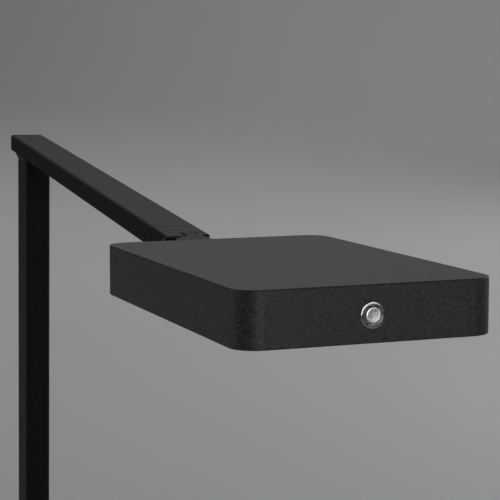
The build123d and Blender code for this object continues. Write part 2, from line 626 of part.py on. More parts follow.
def tilt_knob():
    """The fluted thumb nut on the shoulder screw, under the arm's hood."""
    knob = rod_x(TILT_KNOB_R, KNOB_FACE, KNOB_END)
    knob = chamfer(knob.faces().sort_by(Axis.X)[-1].edges(), TILT_KNOB_EDGE)
    knob -= rod_x(TILT_PIN_THREAD_R + THREAD_PLAY, KNOB_FACE, KNOB_FACE + TILT_PIN_GRIP)
    flute = rod_x(TILT_KNOB_FLUTE_R, KNOB_FACE, KNOB_END, z=TILT_KNOB_R)
    for turn in range(TILT_KNOB_FLUTES):
        knob -= Rot(turn * 360 / TILT_KNOB_FLUTES, 0, 0) * flute
    return lift_arm(Pos(0, -ARM_REACH, 0) * knob)


def tilt_washers():
    """The friction washers on both sides of the knuckle's lap."""
    rings = []
    for face in (LAP_FACE, KNUCKLE_RIGHT):
        inner = face + FACE_PLAY / 2
        outer = inner + WASHER_THICK
        ring = rod_x(WASHER_R, inner, outer) - rod_x(TILT_PIN_R + RUNNING_FIT, inner, outer)
        rings.append(lift_arm(Pos(0, -ARM_REACH, 0) * ring))
    return rings


# Knuckle and head, drawn level about the tilt axis

def place_knuckle(shape):
    return Pos(0, -ARM_REACH, ARM_MIDDLE) * Rot(-HEAD_REST_TILT, 0, 0) * shape


def place_head(shape):
    turn = Pos(0, -SWIVEL_REACH, 0) * Rot(0, 0, HEAD_REST_SWIVEL) * Pos(0, SWIVEL_REACH, 0)
    return place_knuckle(turn * shape)


def place_in_head(shape):
    """Places what is drawn with its heights measured from the middle of the head's thickness."""
    return place_head(Pos(0, 0, -HEAD_DROP) * shape)


def knuckle_flare():
    """The knuckle's side, which widens beyond the arm's lap to the arm's own width."""
    side = -ARM_WIDTH / 2
    outline = Polyline(
        (KNUCKLE_LEFT, -KNUCKLE_FLARE_START),
        (side, -KNUCKLE_FLARE_END),
        (side, KNUCKLE_END),
        (KNUCKLE_LEFT, KNUCKLE_END),
        close=True,
    )
    return Pos(0, 0, -KNUCKLE_HEIGHT / 2) * extrude(make_face(outline), KNUCKLE_HEIGHT)


def knuckle_link():
    """The knuckle: a lap beside the arm's, a wide middle and a thinner eye for the head's fork."""
    half_height = KNUCKLE_HEIGHT / 2
    lap_middle = (KNUCKLE_LEFT + KNUCKLE_RIGHT) / 2
    link = rod_x(half_height, KNUCKLE_LEFT, KNUCKLE_RIGHT)
    link += Pos(lap_middle, KNUCKLE_END / 2, 0) * Box(KNUCKLE_LAP, -KNUCKLE_END, KNUCKLE_HEIGHT)
    heel = Pos(lap_middle, KNUCKLE_HEEL / 2, half_height / 2) * Box(
        KNUCKLE_LAP, KNUCKLE_HEEL, half_height)
    link += Rot(HEAD_REST_TILT, 0, 0) * heel   # level with the arm's top while the head rests
    link += knuckle_flare()
    plate_length = SWIVEL_REACH - EYE_PLATE_START
    link += slab(2 * EYE_R, plate_length, -EYE_HEIGHT / 2, EYE_HEIGHT / 2,
                 -EYE_PLATE_START - plate_length / 2)
    link += rod_z(EYE_R, -EYE_HEIGHT / 2, EYE_HEIGHT / 2, y=-SWIVEL_REACH)
    link -= rod_x(TILT_PIN_R + RUNNING_FIT, KNUCKLE_LEFT, KNUCKLE_RIGHT)
    link -= rod_z(SWIVEL_PIN_R + RUNNING_FIT, -half_height, half_height, y=-SWIVEL_REACH)
    return place_knuckle(link)


def swivel_washers():
    """The friction washers above and below the knuckle's eye."""
    low = EYE_HEIGHT / 2 + FACE_PLAY / 2
    ring = Pos(0, -SWIVEL_REACH, 0) * flat_ring(WASHER_R, SWIVEL_PIN_R + RUNNING_FIT, low,
                                               low + WASHER_THICK)
    return [place_knuckle(ring), place_knuckle(ring.mirror(Plane.XY))]


def bracket_screw_places():
    return [side * BRACKET_SCREW_PITCH / 2 for side in (-1, 1)]


def head_bracket():
    """The fork on the head's back: two leaves about the eye, on a flange."""
    leaf_top = FORK_GAP + FORK_LEAF
    flange_face = -HEAD_BACK + FORK_FLANGE
    root_length = -SWIVEL_REACH - flange_face
    outline = Pos(0, -SWIVEL_REACH) * Circle(EYE_R)
    outline += Pos(0, flange_face + root_length / 2) * Rectangle(2 * EYE_R, root_length)
    fork = Pos(0, 0, -leaf_top) * extrude(outline, 2 * leaf_top)
    slot_floor = -SWIVEL_REACH - EYE_R - BODY_GAP
    fork -= slab(2 * EYE_R, 2 * (EYE_R + BODY_GAP), -FORK_GAP, FORK_GAP,
                 slot_floor + EYE_R + BODY_GAP)
    flange = extrude(Plane.XZ * RectangleRounded(FORK_FLANGE_WIDTH, FORK_FLANGE_HEIGHT,
                                                 FORK_FLANGE_EDGE), FORK_FLANGE)
    fork += Pos(0, flange_face, 0) * flange
    fork -= rod_z(SWIVEL_PIN_R + THREAD_PLAY, -leaf_top, FORK_GAP + SWIVEL_PIN_GRIP,
                  y=-SWIVEL_REACH)
    for x in bracket_screw_places():
        fork -= rod_y(BRACKET_SCREW_R + THREAD_PLAY, -HEAD_BACK, -HEAD_BACK + BRACKET_SCREW_GRIP,
                      x=x)
    fork -= rod_y(HEAD_LEAD_R + SCREW_HOLE_PLAY, -HEAD_BACK, flange_face, x=HEAD_LEAD_X)
    return place_head(fork)


def swivel_pin():
    """The shoulder screw up through the fork and the eye."""
    leaf_bottom = -FORK_GAP - FORK_LEAF
    length = FORK_GAP + SWIVEL_PIN_GRIP - SCREW_HOLE_PLAY - leaf_bottom
    pin = socket_screw(SWIVEL_PIN_R, length, SWIVEL_PIN_HEAD_R, SWIVEL_PIN_HEAD)
    return place_head(Pos(0, -SWIVEL_REACH, leaf_bottom) * Rot(180, 0, 0) * pin)


def bracket_screws():
    """The screws from inside the head into the fork's flange."""
    length = HEAD_SIDE_WALL + BRACKET_SCREW_GRIP - SCREW_HOLE_PLAY
    screw = socket_screw(BRACKET_SCREW_R, length, BRACKET_SCREW_HEAD_R, BRACKET_SCREW_HEAD)
    screw = Pos(0, -HEAD_BACK - HEAD_SIDE_WALL, 0) * Rot(90, 0, 0) * screw
    return [place_head(Pos(x, 0, 0) * screw) for x in bracket_screw_places()]


# Lamp head

def boss_places():
    x = HEAD_WIDTH / 2 - HEAD_SIDE_WALL - BOSS_INSET
    y = HEAD_DEPTH / 2 - HEAD_SIDE_WALL - BOSS_INSET
    return [(side * x, HEAD_MIDDLE_Y + end * y) for side in (-1, 1) for end in (-1, 1)]


def plate_screw_places():
    half_pitch = PLATE_SCREW_PITCH / 2
    return [(side * PLATE_SCREW_X, WINDOW_Y + end * half_pitch)
            for side in (-1, 1) for end in (-1, 1)]


def dimmer_screw_places():
    return [(side * DIMMER_SCREW_PITCH / 2, DIMMER_Y) for side in (-1, 1)]


def post_on_ceiling(radius, hole_radius, hole_depth, z_low, place):
    """A screw post that hangs from the head's ceiling, with its hole from below."""
    x, y = place
    solid = rod_z(radius, z_low, HEAD_CEILING, x, y)
    return solid, rod_z(hole_radius, z_low, z_low + hole_depth, x, y)


def head_housing():
    """The head's shell: one casting, open below, with its screw posts and the switch's hole."""
    half = HEAD_THICK / 2
    shell = slab(HEAD_WIDTH, HEAD_DEPTH, -half, half, HEAD_MIDDLE_Y, HEAD_CORNER)
    shell = fillet(shell.faces().sort_by(Axis.Z)[-1].edges(), HEAD_TOP_EDGE)
    shell = chamfer(shell.faces().sort_by(Axis.Z)[0].edges(), HEAD_RIM_EDGE)
    shell -= slab(HEAD_WIDTH - 2 * HEAD_SIDE_WALL, HEAD_DEPTH - 2 * HEAD_SIDE_WALL, -half,
                  HEAD_CEILING, HEAD_MIDDLE_Y, HEAD_CORNER - HEAD_SIDE_WALL)
    holes = []
    for place in boss_places():
        boss, hole = post_on_ceiling(BOSS_R, COVER_SCREW_R + THREAD_PLAY,
                                     COVER_SCREW_GRIP + FREE_GAP, COVER_TOP, place)
        shell += boss
        holes.append(hole)
    for place in plate_screw_places():
        standoff, hole = post_on_ceiling(STANDOFF_R, PLATE_SCREW_R + THREAD_PLAY,
                                         PLATE_SCREW_GRIP + FREE_GAP, PLATE_TOP, place)
        shell += standoff
        holes.append(hole)
    for place in dimmer_screw_places():
        standoff, hole = post_on_ceiling(STANDOFF_R, DIMMER_SCREW_R + THREAD_PLAY,
                                         DIMMER_SCREW_GRIP, DIMMER_TOP, place)
        shell += standoff
        holes.append(hole)
    holes.append(rod_y(BARREL_R + SCREW_HOLE_PLAY / 2, HEAD_FRONT, HEAD_FRONT + HEAD_SIDE_WALL,
                       z=-SWITCH_DROP))
    back = -HEAD_BACK
    for x in bracket_screw_places():
        holes.append(rod_y(BRACKET_SCREW_R + SCREW_HOLE_PLAY, back - HEAD_SIDE_WALL, back, x=x,
                           z=HEAD_DROP))
    holes.append(rod_y(HEAD_LEAD_R + SCREW_HOLE_PLAY, back - HEAD_SIDE_WALL, back, x=HEAD_LEAD_X,
                       z=HEAD_DROP))
    for hole in holes:
        shell -= hole
    return place_in_head(shell)


def bottom_cover():
    """The plate that closes the head from below, with the window for the diffuser."""
    inset = 2 * (HEAD_SIDE_WALL + COVER_GAP)
    corner = HEAD_CORNER - HEAD_SIDE_WALL - COVER_GAP
    cover = slab(HEAD_WIDTH - inset, HEAD_DEPTH - inset, COVER_BOTTOM, COVER_TOP, HEAD_MIDDLE_Y,
                 corner)
    cover -= slab(WINDOW_WIDTH, WINDOW_DEPTH, COVER_BOTTOM, COVER_TOP, WINDOW_Y, WINDOW_CORNER)
    for x, y in boss_places():
        cover -= Pos(x, y, COVER_BOTTOM) * Cone(COVER_SCREW_HEAD_R + THREAD_PLAY,
                                               COVER_SCREW_R + THREAD_PLAY, COVER_SCREW_HEAD,
                                               align=FROM_BOTTOM)
        cover -= rod_z(COVER_SCREW_R + THREAD_PLAY, COVER_BOTTOM, COVER_TOP, x, y)
    return place_in_head(cover)


def cover_screws():
    """The countersunk screws in the cover's corners."""
    grip = COVER_THICK - COVER_SCREW_HEAD + COVER_SCREW_GRIP
    screw = countersunk_screw(COVER_SCREW_R, grip, COVER_SCREW_HEAD_R, COVER_SCREW_HEAD)
    screw = Rot(180, 0, 0) * screw
    return [place_in_head(Pos(x, y, COVER_BOTTOM) * screw) for x, y in boss_places()]


def diffuser():
    """The opal window: a pane that fills the cover's opening, on a flange inside the cover."""
    pane = slab(WINDOW_WIDTH - 2 * DIFFUSER_GAP, WINDOW_DEPTH - 2 * DIFFUSER_GAP, COVER_BOTTOM,
                COVER_TOP, WINDOW_Y, WINDOW_CORNER - DIFFUSER_GAP)
    flange = slab(LIGHT_BOX_WIDTH, LIGHT_BOX_DEPTH, COVER_TOP, DIFFUSER_TOP, WINDOW_Y,
                  WINDOW_CORNER)
    return place_in_head(pane + flange)


def light_box():
    """The white frame that holds the diffuser down and keeps the light in."""
    frame = slab(LIGHT_BOX_WIDTH, LIGHT_BOX_DEPTH, DIFFUSER_TOP, PLATE_BOTTOM, WINDOW_Y,
                 WINDOW_CORNER)
    frame -= slab(LIGHT_BOX_WIDTH - 2 * LIGHT_BOX_WALL, LIGHT_BOX_DEPTH - 2 * LIGHT_BOX_WALL,
                  DIFFUSER_TOP, PLATE_BOTTOM, WINDOW_Y, WINDOW_CORNER - LIGHT_BOX_WALL)
    return place_in_head(frame)


def led_plate():
    """The aluminium heat spreader, screwed to its standoffs."""
    plate = slab(PLATE_WIDTH, PLATE_DEPTH, PLATE_BOTTOM, PLATE_TOP, WINDOW_Y, WINDOW_CORNER)
    for x, y in plate_screw_places():
        plate -= rod_z(PLATE_SCREW_R + SCREW_HOLE_PLAY, PLATE_BOTTOM, PLATE_TOP, x, y)
    return place_in_head(plate)


def plate_screws():
    """The screws up through the heat spreader."""
    screw = socket_screw(PLATE_SCREW_R, PLATE_THICK + PLATE_SCREW_GRIP, PLATE_SCREW_HEAD_R,
                         PLATE_SCREW_HEAD)
    screw = Rot(180, 0, 0) * screw
    return [place_in_head(Pos(x, y, PLATE_BOTTOM) * screw) for x, y in plate_screw_places()]


def led_board():
    """The board with the light sources, bonded under the heat spreader."""
    return place_in_head(slab(BOARD_WIDTH, BOARD_DEPTH, BOARD_BOTTOM, PLATE_BOTTOM, WINDOW_Y,
                              WINDOW_CORNER - LIGHT_BOX_WALL))


def led_chips():
    """The light sources, in a grid on the board's underside."""
    chip = Box(CHIP_WIDTH, CHIP_DEPTH, CHIP_THICK)
    level = BOARD_BOTTOM - CHIP_THICK / 2
    grid = GridLocations(CHIP_PITCH, CHIP_PITCH, CHIP_COLUMNS, CHIP_ROWS)
    return [place_in_head(Pos(0, WINDOW_Y, level) * place * chip) for place in grid]


def dimmer_board():
    """The driver and dimmer board, hung under the head's ceiling behind the switch."""
    board = slab(DIMMER_WIDTH, DIMMER_DEPTH, DIMMER_BOTTOM, DIMMER_TOP, DIMMER_Y)
    for x, y in dimmer_screw_places():
        board -= rod_z(DIMMER_SCREW_R + SCREW_HOLE_PLAY, DIMMER_BOTTOM, DIMMER_TOP, x, y)
    return place_in_head(board)


def dimmer_parts():
    """The choke and the driver chip on the dimmer board's underside."""
    choke = rod_z(CHOKE_R, DIMMER_BOTTOM - CHOKE_HEIGHT, DIMMER_BOTTOM, -CHOKE_R, DIMMER_Y)
    chip = Pos(DRIVER_CHIP_SIDE, DIMMER_Y, DIMMER_BOTTOM - DRIVER_CHIP_HEIGHT / 2) * Box(
        DRIVER_CHIP_SIDE, DRIVER_CHIP_SIDE, DRIVER_CHIP_HEIGHT)
    return [place_in_head(choke), place_in_head(chip)]


def dimmer_screws():
    """The two screws of the dimmer board."""
    screw = socket_screw(DIMMER_SCREW_R, BOARD_THICK + DIMMER_SCREW_GRIP - SCREW_HOLE_PLAY,
                         DIMMER_SCREW_HEAD_R, DIMMER_SCREW_HEAD)
    screw = Rot(180, 0, 0) * screw
    return [place_in_head(Pos(x, y, DIMMER_BOTTOM) * screw) for x, y in dimmer_screw_places()]


def head_lead():
    """The lead from the fork's flange over the heat spreader to the dimmer board."""
    level = PLATE_TOP + HEAD_LEAD_R + LEAD_PLAY
    inside = -HEAD_BACK - HEAD_SIDE_WALL
    plate_back = WINDOW_Y + PLATE_DEPTH / 2
    points = [
        (HEAD_LEAD_X, -HEAD_BACK + FORK_FLANGE, HEAD_DROP),
        (HEAD_LEAD_X, inside, HEAD_DROP),
        (HEAD_LEAD_X, plate_back, level),
        (HEAD_LEAD_X, DIMMER_Y + DIMMER_DEPTH / 2 + BODY_GAP, level),
    ]
    return place_in_head(lead(HEAD_LEAD_R, points, [HEAD_LEAD_BEND, HEAD_LEAD_BEND]))


# Push switch, drawn about its own axis: Z points into the head from the front face

def place_switch(shape):
    return place_in_head(Pos(0, HEAD_FRONT, -SWITCH_DROP) * Rot(-90, 0, 0) * shape)


def retainer_front():
    return LIP_DEPTH + FACE_PLAY


def switch_body_front():
    return BARREL_LENGTH - SWITCH_BODY_LENGTH


def button_bezel():
    """The switch's flanged barrel, with the lip that keeps the cap in."""
    flange = rod_z(BEZEL_R, -BEZEL_FLANGE, 0)
    flange = chamfer(flange.faces().sort_by(Axis.Z)[0].edges(), BEZEL_EDGE)
    body = flange + rod_z(BARREL_R, 0, BARREL_LENGTH)
    body -= rod_z(CAP_R + BEZEL_MOUTH_GAP, -BEZEL_FLANGE, 0)
    body -= rod_z(CAP_R + RUNNING_FIT, 0, LIP_DEPTH)
    body -= rod_z(BARREL_BORE_R, LIP_DEPTH, BARREL_LENGTH)
    return place_switch(body)


def button_nut():
    """The nut that clamps the switch to the head's front wall."""
    nut = hex_nut(SWITCH_NUT_FLATS, SWITCH_NUT_HEIGHT, BARREL_R + THREAD_PLAY)
    return place_switch(Pos(0, 0, HEAD_SIDE_WALL) * nut)


def button_cap():
    """The button: a cap that stands out of the bezel, a retaining rim and a stem."""
    cap = rod_z(CAP_R, -BEZEL_FLANGE - CAP_PROUD, retainer_front())
    cap = chamfer(cap.faces().sort_by(Axis.Z)[0].edges(), CAP_EDGE)
    rim_back = retainer_front() + CAP_RETAINER
    cap += rod_z(BARREL_BORE_R - RUNNING_FIT, retainer_front(), rim_back)
    cap += rod_z(CAP_STEM_R, rim_back, switch_body_front() - CAP_TRAVEL - BODY_GAP)
    return place_switch(cap)


def button_spring():
    """The square-wire return spring between the cap's rim and the switch body."""
    low = retainer_front() + CAP_RETAINER + SPRING_WIRE / 2 + LEAD_PLAY
    high = switch_body_front() - SPRING_WIRE / 2 - LEAD_PLAY
    coil = Helix(pitch=(high - low) / SPRING_TURNS, height=high - low, radius=SPRING_R)
    section = Plane(coil @ 0, x_dir=(1, 0, 0), z_dir=coil % 0) * Rectangle(SPRING_WIRE, SPRING_WIRE)
    wire = sweep(section, path=coil, is_frenet=True)
    return place_switch(Pos(0, 0, low) * wire)


def switch_body():
    """The contact block in the barrel's rear."""
    block = rod_z(BARREL_BORE_R - PUSH_FIT, switch_body_front(), BARREL_LENGTH)
    block += rod_z(SWITCH_REAR_R, BARREL_LENGTH, BARREL_LENGTH + SWITCH_REAR)
    return place_switch(block)


def switch_terminals():
    """The two solder tags behind the contact block."""
    start = BARREL_LENGTH + SWITCH_REAR
    tag = Box(TERMINAL_WIDTH, TERMINAL_THICK, TERMINAL_LENGTH)
    places = [Pos(0, side * TERMINAL_PITCH / 2, start + TERMINAL_LENGTH / 2) for side in (-1, 1)]
    return [place_switch(place * tag) for place in places]


NODES = [
    base_plate, base_pad, cord_gland, post_tube, post_foot_plug, post_screws, post_top_plug,
    post_top_screws, supply_lead, swing_washer,
    arm_tube, arm_end_cap, swing_spindle, spindle_spring_washer, spindle_nut, arm_clevis,
    clevis_screws, arm_lead, tilt_pin, tilt_knob, tilt_washers,
    knuckle_link, swivel_washers,
    head_housing, head_bracket, swivel_pin, bracket_screws, bottom_cover, cover_screws, diffuser,
    light_box, led_plate, plate_screws, led_board, led_chips, dimmer_board, dimmer_parts,
    dimmer_screws, head_lead,
    button_bezel, button_nut, switch_body, switch_terminals, button_spring, button_cap,
]

os.makedirs("parts", exist_ok=True)
for node in NODES:
    made = node()
    if isinstance(made, list):
        made = Compound(children=made)
    export_step(made, f"parts/{node.__name__}.step")
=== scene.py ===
import json
import math

import bmesh
import bpy
from mathutils import Matrix, Vector


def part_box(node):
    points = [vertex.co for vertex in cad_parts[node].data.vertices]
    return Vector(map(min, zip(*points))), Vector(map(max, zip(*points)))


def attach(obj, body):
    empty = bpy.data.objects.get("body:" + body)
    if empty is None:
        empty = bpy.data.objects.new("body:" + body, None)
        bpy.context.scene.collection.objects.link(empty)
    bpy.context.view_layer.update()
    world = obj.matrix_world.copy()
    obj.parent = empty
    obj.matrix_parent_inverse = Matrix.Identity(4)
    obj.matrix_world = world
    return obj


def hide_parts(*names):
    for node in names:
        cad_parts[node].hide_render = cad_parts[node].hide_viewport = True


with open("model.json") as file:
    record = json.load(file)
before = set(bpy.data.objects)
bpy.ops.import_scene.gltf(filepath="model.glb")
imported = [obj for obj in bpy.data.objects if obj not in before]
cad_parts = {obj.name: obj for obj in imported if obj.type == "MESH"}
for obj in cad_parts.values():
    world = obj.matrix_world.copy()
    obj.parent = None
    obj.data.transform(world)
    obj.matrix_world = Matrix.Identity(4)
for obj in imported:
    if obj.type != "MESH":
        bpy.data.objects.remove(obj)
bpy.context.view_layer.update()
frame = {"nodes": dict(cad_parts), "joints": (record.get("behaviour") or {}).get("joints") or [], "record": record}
nodes = frame["nodes"]
joints = {joint["name"]: joint for joint in frame["joints"]}
slot_of = {part["node"]: part["material_slot"] for part in frame["record"]["subparts"]}

# Lengths are in metres, in the part's own frame: +Z up, the arm points to -Y.
MM = 0.001

# Camera, at the photo's place: its heading turns from +Y towards +X. Angles are in degrees, the
# lens and the sensor in millimetres.
ARM_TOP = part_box("arm_tube")[1].z
CAMERA_PLACE = Vector((-0.24117, -1.27608, ARM_TOP + 0.15210))
CAMERA_HEADING = 18.378
CAMERA_PITCH = -10.442
CAMERA_ROLL = 1.395
CAMERA_LENS = 117.48
CAMERA_SENSOR = 36.0
CAMERA_NEAR = 0.01
CAMERA_FAR = 100.0

# Push switch: radii, and depths behind the front end of the piece
BEZEL_R = 5.8 * MM
BEZEL_FLANGE = 0.6 * MM
BEZEL_EDGE_WIDE = 0.55 * MM
BEZEL_EDGE_DEEP = 0.42 * MM
BEZEL_CROWN = 0.06 * MM
BEZEL_MOUTH_R = 4.2 * MM
BEZEL_LIP_R = 3.85 * MM
BEZEL_LIP = 1.2 * MM
BEZEL_INNER_EDGE = 0.22 * MM
BARREL_R = 5.0 * MM
BARREL_BORE_R = 4.4 * MM
CAP_R = 3.8 * MM
CAP_EDGE_WIDE = 0.95 * MM
CAP_EDGE_DEEP = 0.55 * MM
CAP_DISH = 0.12 * MM
CAP_LENGTH = 2.65 * MM
CAP_RIM_R = 4.35 * MM
CAP_RIM = 1.5 * MM
CAP_STEM_R = 1.5 * MM

# Push switch: angles in degrees at which a rounding meets a face and from which an edge is sharp,
# how finely it is divided, and the distance below which its points are one
BEZEL_EDGE_END = 84
CAP_EDGE_START = 86
SWITCH_SHARP = 32
SWITCH_STEPS = 96
EDGE_STEPS = 10
INNER_EDGE_STEPS = 6
DISH_STEPS = 8
SWITCH_MERGE = 0.001 * MM

# Studio: a round floor that curves up into a wall. The shade is a share of its tone.
FLOOR_RADIUS = 4.2
SWEEP_RADIUS = 2.6
WALL_HEIGHT = 4.5
SWEEP_STEPS = 16
SWEEP_SIDES = 96
SWEEP_MERGE = 0.1 * MM
STUDIO_TONE = (0.495, 0.51, 0.515)
STUDIO_SHADE = 0.985
STUDIO_ROUGH = 0.9
WORLD_STRENGTH = 0.01

# Area lights: place, target, width, height, and power in watts
LIGHTS = {
    "overhead": ((0.2, 1.6, 2.6), (0.2, 0.6, 0), 2.0, 1.6, 27.4),
    "wall": ((2.2, 2.8, 3.2), (2.4, 6.0, 1.2), 2.0, 0.8, 47),
    "floor": ((1.2, 0.2, 0.5), (0.7, 0.2, 0), 0.5, 0.5, 0.8),
    "left": ((-1.8, 0.15, 0.6), (0, -0.6, 0.4), 0.25, 0.5, 4.2),
    "front": ((0.1, -2.6, 0.7), (0, -0.6, 0.4), 0.7, 0.9, 9.0),
    "front_right": ((0.8, -2.4, 0.7), (0, -0.6, 0.4), 0.6, 0.8, 2.2),
    "right": ((2.0, -0.2, 1.0), (0, -0.4, 0.4), 1.0, 1.2, 4.7),
    "right_back": ((2.2, 1.2, 1.0), (0.2, 0.0, 0.2), 1.0, 1.0, 10.4),
}

# Noise patterns of the finishes: scale in cycles a metre, detail and roughness
SPECKS = (1500, 2, 0.7)
PATCHES = (800, 3, 0.65)
CLOUDS = (22, 4, 0.55)
PEEL = (420, 2, 0.5)
METAL_LINES = (900, 3, 0.6)
METAL_STAINS = (60, 4, 0.6)
RING_RIPPLES = (500, 2, 0.5)
BUTTON_MOTTLE = (1300, 3, 0.6)
PLASTIC_SKIN = (1100, 3, 0.55)
PLASTIC_CLOUDS = (40, 3, 0.5)
PAPER_GRAIN = (3, 3, 0.5)

# Most values of a pattern lie between these two.
NOISE_LOW = 0.3
NOISE_HIGH = 0.7

# The values of a pattern at which it reaches its first and its second tone
SPECK_RANGE = (0.40, 0.62)
PATCH_RANGE = (0.38, 0.64)
STAIN_RANGE = (0.3, 0.75)
RIPPLE_RANGE = (0.3, 0.7)
MOTTLE_RANGE = (0.38, 0.62)
PLASTIC_RANGE = (0.25, 0.75)
GRAIN_RANGE = (0.2, 0.8)

# Reliefs: the strength of a bump, and its depth
SPECK_RELIEF = (0.9, 0.08 * MM)
PEEL_RELIEF = (0.5, 0.12 * MM)
LINE_RELIEF = (0.15, 0.05 * MM)
RIPPLE_RELIEF = (0.12, 0.05 * MM)
MOTTLE_RELIEF = (0.35, 0.05 * MM)
SKIN_RELIEF = (0.2, 0.05 * MM)

# Widths of softened edges and of the powder coat's painted edge highlights, and how many samples
# each takes
COAT_EDGE = 0.35 * MM
TUBE_EDGE = 3.2 * MM
HEAD_EDGE = 1.2 * MM
METAL_EDGE = 0.15 * MM
SWITCH_EDGE = 0.05 * MM
PLASTIC_EDGE = 0.1 * MM
HIGHLIGHT_WIDTH = 0.8 * MM
EDGE_SAMPLES = 4
NEARNESS_SAMPLES = 6

# Powder coat: its dark and light tones and the tone of its painted edge highlight as shares of its
# own tone, the highlight tone's lift, the share of that tone in the highlight's darker specks, and
# the least and the most share of patches
DARK_SHARE = 0.1
LIGHT_SHARE = 2.3
HIGHLIGHT_SHARE = 2.6
HIGHLIGHT_LIFT = 0.012
HIGHLIGHT_SPECK_SHADE = 0.7
PATCH_BLEND = (0.30, 0.55)

# Painted edge highlight: the cosine of the softened normal with the true one, at an edge and on a
# flat face; the nearness to an edge at which the highlight sets in and is full; and how much of the
# coat it then covers
EDGE_TURN = (0.82, 1.0)
HIGHLIGHT_RANGE = (0.35, 0.9)
HIGHLIGHT_MOST = 0.7

# Roughness: of the coat, how far it strays in a coat, a metal and a plastic, and its range on the
# switch's ring and button
COAT_ROUGH = 0.5
COAT_STRAY = (-0.12, 0.12)
METAL_STRAY = (-0.08, 0.12)
PLASTIC_STRAY = (-0.05, 0.07)
RING_ROUGH = (0.06, 0.16)
BUTTON_ROUGH = (0.24, 0.36)

# Extra roughness of upright faces. It fades out as the normal's Z comes up to that of a level face.
DRY_SIDES = 0.25
DRY_POST = 0.4 * DRY_SIDES
LEVEL_FACE = 0.8

# The darker tone of a finish, as a share of its colour
METAL_SHADE = 0.78
RING_SHADE = 0.85
BUTTON_SHADE = 0.6
PLASTIC_SHADE = 0.82
OPAL_SHADE = 0.96

RING_COLOR = (0.46, 0.46, 0.46)
BUTTON_COLOR = (0.80, 0.80, 0.79)

# Powder coats: tone, gloss, width of the softened edges, and extra roughness of upright faces
COATS = {
    "base_coat": (0.008, 0.18, COAT_EDGE, 0.0),
    "post_coat": (0.007, 0.15, COAT_EDGE, DRY_POST),
    "arm_coat": (0.004, 0.2, COAT_EDGE, DRY_SIDES),
    "knuckle_coat": (0.004, 0.2, COAT_EDGE, DRY_SIDES),
    "head_coat": (0.027, 0.36, HEAD_EDGE, 0.0),
    "cover_coat": (0.027, 0.36, HEAD_EDGE, 0.0),
    "tube_coat": (0.004, 0.2, TUBE_EDGE, DRY_SIDES),
}

# Plastics and rubbers: colour, roughness, and for some sheen and shade
PLASTICS = {
    "pad_foam": ((0.03, 0.03, 0.03), 0.85, 0.3),
    "gland_rubber": ((0.025, 0.025, 0.025), 0.7, 0.1),
    "lead_jacket": ((0.03, 0.03, 0.03), 0.55),
    "knob_plastic": ((0.02, 0.02, 0.02), 0.55),
    "nylon": ((0.10, 0.10, 0.10), 0.5),
    "opal_plastic": ((0.85, 0.85, 0.83), 0.38, 0.0, OPAL_SHADE),
    "white_plastic": ((0.8, 0.8, 0.79), 0.5),
    "white_board": ((0.8, 0.8, 0.77), 0.4),
    "led_phosphor": ((0.85, 0.68, 0.15), 0.3),
    "green_board": ((0.03, 0.2, 0.08), 0.4),
    "component_black": ((0.025, 0.025, 0.025), 0.6),
    "switch_plastic": ((0.03, 0.03, 0.03), 0.5),
}

# Metals: colour, roughness, how much finer the lines are along each axis, and for a blackened one
# how metallic it is
METALS = {
    "plain_steel": ((0.55, 0.55, 0.56), 0.35, (1, 1, 12)),
    "zinc_steel": ((0.62, 0.64, 0.68), 0.3, (1, 1, 6)),
    "spring_steel": ((0.6, 0.6, 0.62), 0.25, (1, 1, 6)),
    "black_steel": ((0.03, 0.03, 0.033), 0.38, (1, 1, 6), 0.4),
    "bare_aluminium": ((0.75, 0.76, 0.77), 0.35, (1, 14, 1)),
    "terminal_brass": ((0.75, 0.55, 0.22), 0.3, (1, 8, 1)),
}


# Shader helpers

def new_material(name):
    """An empty material with its node tree and shader."""
    material = bpy.data.materials.new(name)
    material.use_nodes = True
    tree = material.node_tree
    return material, tree, tree.nodes["Principled BSDF"]


def noise(tree, scale, detail, roughness, stretch=None):
    """A noise pattern in the part's own frame, finer along the axes that stretch says."""
    node = tree.nodes.new("ShaderNodeTexNoise")
    node.inputs["Scale"].default_value = scale
    node.inputs["Detail"].default_value = detail
    node.inputs["Roughness"].default_value = roughness
    place = tree.nodes.new("ShaderNodeTexCoord").outputs["Object"]
    if stretch:
        mapping = tree.nodes.new("ShaderNodeMapping")
        mapping.inputs["Scale"].default_value = stretch
        tree.links.new(place, mapping.inputs["Vector"])
        place = mapping.outputs["Vector"]
    tree.links.new(place, node.inputs["Vector"])
    return node.outputs["Fac"]


def ramp(tree, value, low, high, low_color, high_color):
    """Two colours, blended as the value goes from low to high."""
    node = tree.nodes.new("ShaderNodeValToRGB")
    node.color_ramp.elements[0].position = low
    node.color_ramp.elements[0].color = (*low_color, 1)
    node.color_ramp.elements[1].position = high
    node.color_ramp.elements[1].color = (*high_color, 1)
    tree.links.new(value, node.inputs["Fac"])
    return node.outputs["Color"]


def spread(tree, value, low, high, from_low=NOISE_LOW, from_high=NOISE_HIGH):
    """A number that goes from low to high as the value does."""
    node = tree.nodes.new("ShaderNodeMapRange")
    node.inputs["From Min"].default_value = from_low
    node.inputs["From Max"].default_value = from_high
    node.inputs["To Min"].default_value = low
    node.inputs["To Max"].default_value = high
    tree.links.new(value, node.inputs["Value"])
    return node.outputs["Result"]


def stray(tree, value, middle, low, high):
    """A number that strays from its middle, by low to high as the value does."""
    return spread(tree, value, middle + low, middle + high)


def blend_colors(tree, factor, first, second):
    node = tree.nodes.new("ShaderNodeMix")
    node.data_type = "RGBA"
    tree.links.new(factor, node.inputs["Factor"])
    tree.links.new(first, node.inputs["A"])
    tree.links.new(second, node.inputs["B"])
    return node.outputs["Result"]


def sum_of(tree, first, second):
    node = tree.nodes.new("ShaderNodeMath")
    node.operation = "ADD"
    tree.links.new(first, node.inputs[0])
    tree.links.new(second, node.inputs[1])
    return node.outputs["Value"]


